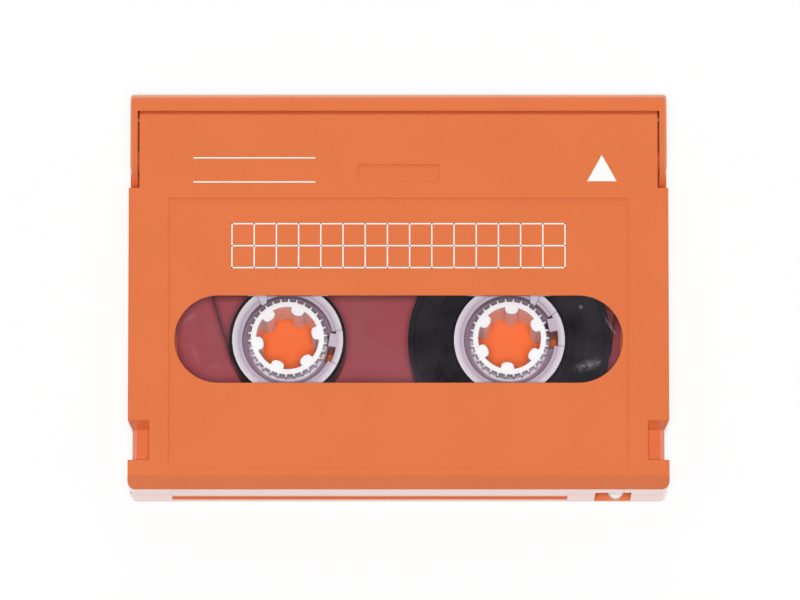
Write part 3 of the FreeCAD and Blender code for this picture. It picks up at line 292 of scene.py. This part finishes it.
def stout_teeth(centre, tooth_angle):
    """Bore of a hub: a smaller root circle, and teeth widened by a share that falls from nose to root."""
    def reshape(points):
        spot = points[:, :2] - centre
        reach = np.hypot(spot[:, 0], spot[:, 1])
        turn = np.arctan2(spot[:, 1], spot[:, 0]) - tooth_angle
        axis = np.round(turn / (math.pi / 3)) * (math.pi / 3)
        along = reach * np.cos(turn - axis)
        across = reach * np.sin(turn - axis)
        in_bore = reach < bore_reach
        in_tooth = in_bore & (np.abs(across) < tooth_half)
        across = np.where(in_tooth, across * np.interp(along, tooth_stations, tooth_gains), across)
        size = np.hypot(along, across)
        size = np.where(in_bore & (reach > root_reach), new_root, size)
        heading = np.arctan2(across, along) + axis + tooth_angle
        moved = centre + np.stack([size * np.cos(heading), size * np.sin(heading)], -1)
        points[in_bore, :2] = moved[in_bore]
        return points
    return reshape


for side, tooth_angle in (("left", 10), ("right", 26)):
    hub_centre = np.array([-hub_x if side == "left" else hub_x, hub_y])
    fair_copy(f"{side}_hub", f"{side}_reel", hub_plastic,
              reshape=stout_teeth(hub_centre, math.radians(tooth_angle)))
    fair_copy(f"{side}_clamp", f"{side}_reel", hub_plastic)

# Wound tape: hundreds of turns on each hub, thin at the left and thick at the right.
# Black coated film; the edges of the turns stand a few hundredths of a millimetre uneven and show
# as fine rings.


def put_mesh(name, points, faces, material, smooth=True):
    """Mesh object at the origin from arrays of points and faces."""
    mesh = bpy.data.meshes.new(name)
    mesh.from_pydata(points.tolist(), [], faces.tolist())
    mesh.materials.append(material)
    if smooth:
        mesh.shade_smooth()
    piece = bpy.data.objects.new(name, mesh)
    bpy.context.scene.collection.objects.link(piece)
    return piece


def closed_grid(rows, columns, wrap_rows):
    """Faces of a grid of rows by columns whose columns close into a ring, and whose rows too if asked."""
    row = np.arange(rows if wrap_rows else rows - 1)[:, None]
    column = np.arange(columns)[None, :]
    next_row = (row + 1) % rows
    next_column = (column + 1) % columns
    corners = (row * columns + column, row * columns + next_column,
               next_row * columns + next_column, next_row * columns + column)
    return np.stack([np.broadcast_to(c, (len(row), columns)) for c in corners], -1).reshape(-1, 4)


def wound_tape_material():
    """Black film on edge: gloss and height change with the distance from the axis, so they lie in rings."""
    material = bpy.data.materials.new("wound_tape")
    material.use_nodes = True
    tree = material.node_tree
    film = tree.nodes["Principled BSDF"]
    set_finish(material, {"Specular IOR Level": 0.3})
    ring = add(tree, "ShaderNodeAttribute", attribute_name="ring")
    coarse = add(tree, "ShaderNodeTexNoise", {"Scale": 2600.0, "Detail": 3.0},
                 {"W": ring.outputs["Fac"]}, noise_dimensions="1D")
    fine = add(tree, "ShaderNodeTexNoise", {"Scale": 21000.0, "Detail": 1.0},
               {"W": ring.outputs["Fac"]}, noise_dimensions="1D")
    colour = add(tree, "ShaderNodeValToRGB", None, {"Fac": coarse.outputs["Fac"]})
    colour.color_ramp.elements[0].position = 0.3
    colour.color_ramp.elements[0].color = (0.007, 0.006, 0.008, 1)
    colour.color_ramp.elements[1].position = 0.75
    colour.color_ramp.elements[1].color = (0.016, 0.013, 0.018, 1)
    gloss = add(tree, "ShaderNodeMapRange", {"To Min": 0.22, "To Max": 0.42},
                {"Value": coarse.outputs["Fac"]})
    turns = add(tree, "ShaderNodeBump", {"Strength": 0.35, "Distance": 0.00001},
                {"Height": fine.outputs["Fac"]})
    tree.links.new(colour.outputs["Color"], film.inputs["Base Color"])
    tree.links.new(gloss.outputs["Result"], film.inputs["Roughness"])
    tree.links.new(turns.outputs["Normal"], film.inputs["Normal"])
    return material


wound_tape = wound_tape_material()
hub_ring_radius = 0.00751
turn_unevenness = 0.00004
ring_steps = 128


def wound_pack(name, centre, inner, outer, low, high, turns, seed):
    """Ring of wound tape: a closed profile of two stepped end faces and two walls, carried round the axis.

    Each step of an end face is one group of turns, pushed in by a small seeded amount.
    """
    spread = np.random.default_rng(seed)
    radii = np.repeat(np.linspace(inner, outer, turns + 1), 2)[1:-1]
    sink_top = np.repeat(spread.uniform(0.0, turn_unevenness, turns), 2)
    sink_low = np.repeat(spread.uniform(0.0, turn_unevenness, turns), 2)
    radius = np.concatenate([radii, radii[::-1]])
    height = np.concatenate([low + sink_low, (high - sink_top)[::-1]])
    angle = np.linspace(0, 2 * math.pi, ring_steps, endpoint=False)
    points = np.stack([
        centre[0] + radius[:, None] * np.cos(angle),
        centre[1] + radius[:, None] * np.sin(angle),
        np.broadcast_to(height[:, None], (len(radius), len(angle))),
    ], -1).reshape(-1, 3)
    piece = put_mesh(name, points, closed_grid(len(radius), len(angle), wrap_rows=True), wound_tape)
    piece.data.set_sharp_from_angle(angle=math.radians(30))
    ring = piece.data.attributes.new("ring", "FLOAT", "POINT")
    ring.data.foreach_set("value", np.repeat(radius, len(angle)).astype(np.float32))
    return piece


for side, turns, seed in (("left", 4, 3), ("right", 62, 5)):
    pack_low, pack_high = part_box(f"{side}_tape_pack")
    middle = (pack_low + pack_high) / 2
    outer = (pack_high.x - pack_low.x) / 2
    pack = wound_pack(
        f"{side}_wound_tape", middle, hub_ring_radius, outer, pack_low.z, pack_high.z, turns, seed)
    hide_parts(f"{side}_tape_pack")
    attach(pack, f"{side}_reel")

# Free run of tape: a ribbon on edge from one pack round the two guide posts to the other.
# Black coated film, smooth and glossy on its face.
span_film = moulded_plastic(
    "span_film", (0.020, 0.018, 0.022),
    gloss=0.22, tone=0.2, grain_depth=0.000002, edge_round=0.00002)
fair_copy("tape_span", "case", span_film)

# Upper slip sheet: thin clear film over the reels, die-cut round each hub.
# Hazy polyester that veils what lies under it and is lightly scuffed by the packs.
film_clear = clear_plastic("film_clear", (0.42, 0.36, 0.46), (0.0, 0.03), 0.08)
fair_copy("upper_liner", "case", film_clear)

# Brake: a moulded yoke under the top plate; its two points stand between the brake teeth until the lid opens.
# Milky clear plastic; a bowed steel leaf between it and the front wall presses it to the hubs.
brake_plastic = moulded_plastic(
    "brake_plastic", (0.82, 0.77, 0.88),
    gloss=0.2, tone=0.05, grain_depth=0.000003, edge_round=0.00015)
set_finish(brake_plastic, {"Alpha": 0.62})


def straight_pawls(points, solid_edge=0.0204, edge=0.0190, near=0.00005):
    """Pawls of the brake: their outer edge comes in, so that each is a straight finger with a slanted end."""
    outer = np.abs(np.abs(points[:, 0]) - solid_edge) < near
    points[outer, 0] = np.sign(points[outer, 0]) * edge
    return points


fair_copy("hub_brake", "brake", brake_plastic, reshape=straight_pawls)


def spring_steel_material():
    """Bright drawn steel: fine streaks of gloss along the part's length from stretched noise."""
    material = bpy.data.materials.new("spring_steel")
    material.use_nodes = True
    tree = material.node_tree
    steel = tree.nodes["Principled BSDF"]
    set_finish(material, {"Metallic": 1.0})
    place = add(tree, "ShaderNodeTexCoord").outputs["Object"]
    along = add(tree, "ShaderNodeMapping", {"Scale": (0.15, 1.0, 1.0)}, {"Vector": place})
    streak = add(tree, "ShaderNodeTexNoise", {"Scale": 5000.0, "Detail": 3.0},
                 {"Vector": along.outputs[0]})
    colour = add(tree, "ShaderNodeValToRGB", None, {"Fac": streak.outputs["Fac"]})
    colour.color_ramp.elements[0].color = (0.44, 0.44, 0.45, 1)
    colour.color_ramp.elements[1].color = (0.72, 0.71, 0.70, 1)
    gloss = add(tree, "ShaderNodeMapRange", {"To Min": 0.2, "To Max": 0.45}, {"Value": streak.outputs["Fac"]})
    tree.links.new(colour.outputs["Color"], steel.inputs["Base Color"])
    tree.links.new(gloss.outputs["Result"], steel.inputs["Roughness"])
    return material


spring_steel = spring_steel_material()
fair_copy("brake_spring", "case", spring_steel)

# Upper half of the case: top plate with the window opening, a shallow label field, a sunk mark, two loading
# grips, a bevelled rear edge and bosses for the screws.
# The same orange moulding as the lower half, with the same grain.
fair_copy("upper_shell", "case", case_plastic, reshape=shallow_recess)

# Pad print on the top: a ruled use record of thirty boxes, two lines to write on and an arrow to the lid.
# White ink film a hundredth of a millimetre thick, a little thin in places.
ink_white = moulded_plastic(
    "ink_white", (0.93, 0.92, 0.90),
    gloss=0.5, tone=0.08, grain_depth=0.000004, edge_round=0.00001)
field_z = 0.01455
top_z = 0.0147
ink_top = 0.00001
ink_thickness = 0.000008


def ink_strips(name, centres, sizes, z):
    """Flat strips of ink: each centre carries a rectangle of its own length and width at one height."""
    turn = np.array([[-1, -1], [1, -1], [1, 1], [-1, 1]]) / 2
    flat = (np.asarray(centres)[:, None, :] + turn * np.asarray(sizes)[:, None, :]).reshape(-1, 2)
    points = np.column_stack([flat, np.full(len(flat), z + ink_top)])
    return put_mesh(name, points, np.arange(len(points)).reshape(-1, 4), ink_white, smooth=False)


cell, line = 0.0030, 0.00017
columns, rows, record_y = 15, 2, 0.0060
posts = [(cell * (k - columns / 2), record_y) for k in range(columns + 1)]
rails = [(0.0, record_y + cell * (k - rows / 2)) for k in range(rows + 1)]
record = ink_strips(
    "use_record_print", posts + rails,
    [(line, rows * cell + line)] * len(posts) + [(columns * cell + line, line)] * len(rails), field_z)
write_lines = ink_strips(
    "write_line_print", [(-0.0195, 0.0147), (-0.0195, 0.0180)], [(0.0165, line)] * 2, top_z)
arrow_flat = np.array([[0.0255, 0.0148], [0.0295, 0.0148], [0.0275, 0.0184]])
arrow_points = np.column_stack([arrow_flat, np.full(3, top_z + ink_top)])
arrow = put_mesh("arrow_print", arrow_points, np.array([[0, 1, 2]]), ink_white, smooth=False)
for print_piece in (record, write_lines, arrow):
    ink = print_piece.modifiers.new("ink_film", "SOLIDIFY")
    ink.thickness = ink_thickness
    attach(print_piece, "case")

# Window: a round-ended pane welded into the top plate from inside, its face a little below the plate.
# Clear styrene with a cool cast, hazed by rubbing, with a pale patch and spot at one end, a scratch and scuffs.


def build_pale_mark():
    """Pale mark: full in the middle of a turned ellipse, none at its rim, broken into long streaks."""
    tree, given, out = new_group(
        "pale_mark",
        {"Centre": ("NodeSocketVector", (0.0, 0.0, 0.0)), "Turn": ("NodeSocketVector", (0.0, 0.0, 0.0)),
         "Size": ("NodeSocketVector", (1.0, 1.0, 1.0)), "Strength": ("NodeSocketFloat", 0.5)},
        {"Mask": "NodeSocketFloat"})
    place = add(tree, "ShaderNodeTexCoord").outputs["Object"]
    local = add(tree, "ShaderNodeMapping", None, {
        "Vector": place, "Location": given.outputs["Centre"], "Rotation": given.outputs["Turn"],
        "Scale": given.outputs["Size"]}, vector_type="TEXTURE")
    away = add(tree, "ShaderNodeVectorMath", None, {0: local.outputs[0]}, operation="LENGTH")
    fade = add(tree, "ShaderNodeMapRange", {"From Min": 1.0, "From Max": 0.0},
               {"Value": away.outputs["Value"]}, interpolation_type="SMOOTHSTEP")
    long_way = add(tree, "ShaderNodeMapping", {"Scale": (1.0, 2.2, 1.0)}, {"Vector": local.outputs[0]})
    streak = add(tree, "ShaderNodeTexNoise", {"Scale": 2.6, "Detail": 6.0, "Roughness": 0.75},
                 {"Vector": long_way.outputs[0]})
    broken = add(tree, "ShaderNodeMapRange", {"From Min": 0.45, "From Max": 0.66},
                 {"Value": streak.outputs["Fac"]})
    mark = add(tree, "ShaderNodeMath", None, {0: fade.outputs["Result"], 1: broken.outputs["Result"]},
               operation="MULTIPLY")
    mask = add(tree, "ShaderNodeMath", None, {0: mark.outputs[0], 1: given.outputs["Strength"]},
               operation="MULTIPLY")
    tree.links.new(mask.outputs[0], out.inputs["Mask"])
    return tree


pale_mark = build_pale_mark()
window_clear = clear_plastic("window_clear", (0.62, 0.58, 0.62), (0.0, 0.02), 0.05)
window_nodes = window_clear.node_tree
pale_marks = window_nodes.nodes["veil"].outputs["Result"]
# Pale marks: a streaked patch and a spot at the right end, a thin scratch, and scuffs at the left end.
for centre, size, turn, strength in (
        ((0.0256, -0.0102), (0.0027, 0.0010), 18, 0.40),
        ((0.0246, -0.0023), (0.0004, 0.0004), 0, 0.6),
        ((0.0286, -0.0049), (0.0021, 0.00022), -57, 0.5),
        ((-0.0282, -0.0038), (0.0016, 0.0006), 42, 0.22),
        ((-0.0250, -0.0104), (0.0012, 0.0004), 10, 0.18),
        ((-0.0275, -0.0085), (0.0024, 0.0009), -60, 0.12)):
    mark = add(window_nodes, "ShaderNodeGroup", node_tree=pale_mark)
    mark.inputs["Centre"].default_value = (*centre, 0.0)
    mark.inputs["Turn"].default_value = (0.0, 0.0, math.radians(turn))
    mark.inputs["Size"].default_value = (*size, 1.0)
    mark.inputs["Strength"].default_value = strength
    joined = add(window_nodes, "ShaderNodeMath", None, {0: pale_marks, 1: mark.outputs["Mask"]},
                 operation="MAXIMUM")
    pale_marks = joined.outputs[0]
window_nodes.links.new(pale_marks, window_nodes.nodes["cover"].inputs[0])
fair_copy("window", "case", window_clear)

# Lid: the hinged front door with two side arms on pivots of the upper half.
# Orange moulding with a rounded brow; a coil spring on the left pivot shuts it.
fair_copy("lid", "lid", case_plastic)

# Lid spring: two and a half turns of wire round the left pivot with two straight legs.
# Drawn spring steel, slipped on the pivot before the lid goes on; its legs push the lid shut.


wire_sides = 12
leg_rings = 8
coil_rings = 90


def coil_spring(turns, pitch, coil, wire, leg):
    """Round wire carried along a helix about X with a tangent leg at each end, as a tube."""
    angle = np.linspace(0, 2 * math.pi * turns, coil_rings)
    out = np.stack([np.zeros_like(angle), np.sin(angle), -np.cos(angle)], -1)
    line = out * coil
    line[:, 0] = pitch * angle / (2 * math.pi)
    rise = np.full_like(angle, pitch / (2 * math.pi))
    tangent = np.stack([rise, coil * np.cos(angle), coil * np.sin(angle)], -1)
    tangent /= np.linalg.norm(tangent, axis=1)[:, None]
    reach = np.linspace(leg, leg / leg_rings, leg_rings)[:, None]
    line = np.concatenate([line[:1] - tangent[:1] * reach, line, line[-1:] + tangent[-1:] * reach[::-1]])
    ends = [np.repeat(way[[end]], leg_rings, 0) for way in (out, tangent) for end in (0, -1)]
    out = np.concatenate([ends[0], out, ends[1]])
    tangent = np.concatenate([ends[2], tangent, ends[3]])
    side = np.cross(tangent, out)
    around = np.linspace(0, 2 * math.pi, wire_sides, endpoint=False)[None, :, None]
    ring = out[:, None, :] * np.cos(around) + side[:, None, :] * np.sin(around)
    points = (line[:, None, :] + ring * wire / 2).reshape(-1, 3)
    return points, len(line)


spring_points, spring_rings = coil_spring(turns=2.5, pitch=0.0003, coil=0.0009, wire=0.00026, leg=0.0022)
left_pivot = np.array([-0.03238, 0.0182, 0.0108])
spring_points += left_pivot
spring_faces = closed_grid(spring_rings, wire_sides, wrap_rows=False)
lid_spring = put_mesh("lid_spring_wire", spring_points, spring_faces, spring_steel)
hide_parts("lid_spring")
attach(lid_spring, "lid")

# Write-protect tab: a small slide behind the rear wall with a round-ended grip.
# Off-white moulded plastic, snapped into place before the shells close.
tab_plastic = moulded_plastic(
    "tab_plastic", (0.93, 0.92, 0.89),
    gloss=0.35, tone=0.05, grain_depth=0.000008, edge_round=0.00012)
fair_copy("write_protect_tab", "protect_tab", tab_plastic)

# Screws: four self-tapping pan heads driven from below through the lower half into bosses of the upper half.
# Zinc-plated steel with a cross recess.
fair_copy("screws", "case", spring_steel)

# Floor and light: a white table under a soft lamp beside the camera, with weak light from all sides.
# The table reads white to the eye and in reflections, but not under the case, and keeps a faint shadow.
case_footprint = (0.0363, 0.0268, 0.0)
glow_share = 0.86
footprint_fade = 0.0004
floor = bpy.data.materials.new("white_table")
floor.use_nodes = True
tree = floor.node_tree
paper = tree.nodes["Principled BSDF"]
set_finish(floor, {"Base Color": (0.92, 0.92, 0.92, 1), "Roughness": 0.9, "Specular IOR Level": 0.0})
glow = add(tree, "ShaderNodeEmission", {"Color": (1, 1, 1, 1), "Strength": 1.0})
ray = add(tree, "ShaderNodeLightPath")
seen = add(tree, "ShaderNodeMath", None,
           {0: ray.outputs["Is Camera Ray"], 1: ray.outputs["Is Glossy Ray"]}, operation="MAXIMUM")
seen = add(tree, "ShaderNodeMath", None,
           {0: seen.outputs[0], 1: ray.outputs["Is Transmission Ray"]}, operation="MAXIMUM")
place = add(tree, "ShaderNodeTexCoord").outputs["Object"]
spot = add(tree, "ShaderNodeVectorMath", None, {0: place}, operation="ABSOLUTE")
beyond = add(tree, "ShaderNodeVectorMath", {1: case_footprint}, {0: spot.outputs[0]}, operation="SUBTRACT")
sides = add(tree, "ShaderNodeSeparateXYZ", None, {0: beyond.outputs[0]})
past = add(tree, "ShaderNodeMath", None, {0: sides.outputs["X"], 1: sides.outputs["Y"]}, operation="MAXIMUM")
clear = add(tree, "ShaderNodeMapRange",
            {"From Min": -footprint_fade, "From Max": 0.0, "To Max": glow_share}, {"Value": past.outputs[0]})
share = add(tree, "ShaderNodeMath", None, {0: seen.outputs[0], 1: clear.outputs["Result"]},
            operation="MULTIPLY")
table = add(tree, "ShaderNodeMixShader", None,
            {"Fac": share.outputs[0], 1: paper.outputs[0], 2: glow.outputs[0]})
tree.links.new(table.outputs[0], tree.nodes["Material Output"].inputs["Surface"])
reach, table_z = 4.0, -2e-5
table_points = np.array([[-reach, -reach, table_z], [reach, -reach, table_z],
                         [reach, reach, table_z], [-reach, reach, table_z]])
put_mesh("white_table", table_points, np.array([[0, 1, 2, 3]]), floor, smooth=False)

world = bpy.data.worlds.new("studio")
bpy.context.scene.world = world
world.use_nodes = True
tree = world.node_tree
sky = tree.nodes["Background"]
ray = add(tree, "ShaderNodeLightPath")
seen = add(tree, "ShaderNodeMath", None,
           {0: ray.outputs["Is Camera Ray"], 1: ray.outputs["Is Transmission Ray"]}, operation="MAXIMUM")
strength = add(tree, "ShaderNodeMath", {1: 0.9, 2: 0.1}, {0: seen.outputs[0]}, operation="MULTIPLY_ADD")
tree.links.new(strength.outputs[0], sky.inputs["Strength"])
sky.inputs["Color"].default_value = (1, 1, 1, 1)


def soft_lamp(name, place, size, power):
    """Square area lamp that faces the middle of the object, unseen itself and in reflections."""
    lamp = bpy.data.lights.new(name, "AREA")
    lamp.size = size
    lamp.energy = power
    holder = bpy.data.objects.new(name, lamp)
    holder.location = place
    holder.rotation_euler = holder.location.to_track_quat("Z", "Y").to_euler()
    holder.visible_camera = False
    holder.visible_glossy = False
    bpy.context.scene.collection.objects.link(holder)


soft_lamp("key_lamp", (0.0, -0.186, 1.24), size=0.22, power=12.6)
soft_lamp("left_lamp", (-0.94, 0.0, 0.34), size=0.9, power=1.6)
soft_lamp("right_lamp", (0.94, 0.0, 0.34), size=0.9, power=1.6)
soft_lamp("front_lamp", (0.0, 0.94, 0.34), size=0.5, power=3.0)
soft_lamp("rear_lamp", (0.0, -0.94, 0.34), size=0.5, power=0.2)

# Camera: above and slightly behind the case, far off with a long lens, as the photograph's even scale shows.
tilt = math.radians(8.56)
distance = 1.2
aim = np.array([0.0002, -0.001447, 0.0147])
eye = bpy.data.cameras.new("camera")
eye.lens = 400.1
eye.sensor_width = 36.0
camera = bpy.data.objects.new("camera", eye)
camera.location = aim + distance * np.array([0.0, -math.sin(tilt), math.cos(tilt)])
camera.rotation_euler = (tilt, 0.0, 0.0)
bpy.context.scene.collection.objects.link(camera)
bpy.context.scene.camera = camera
bpy.context.scene.view_settings.view_transform = "Standard"
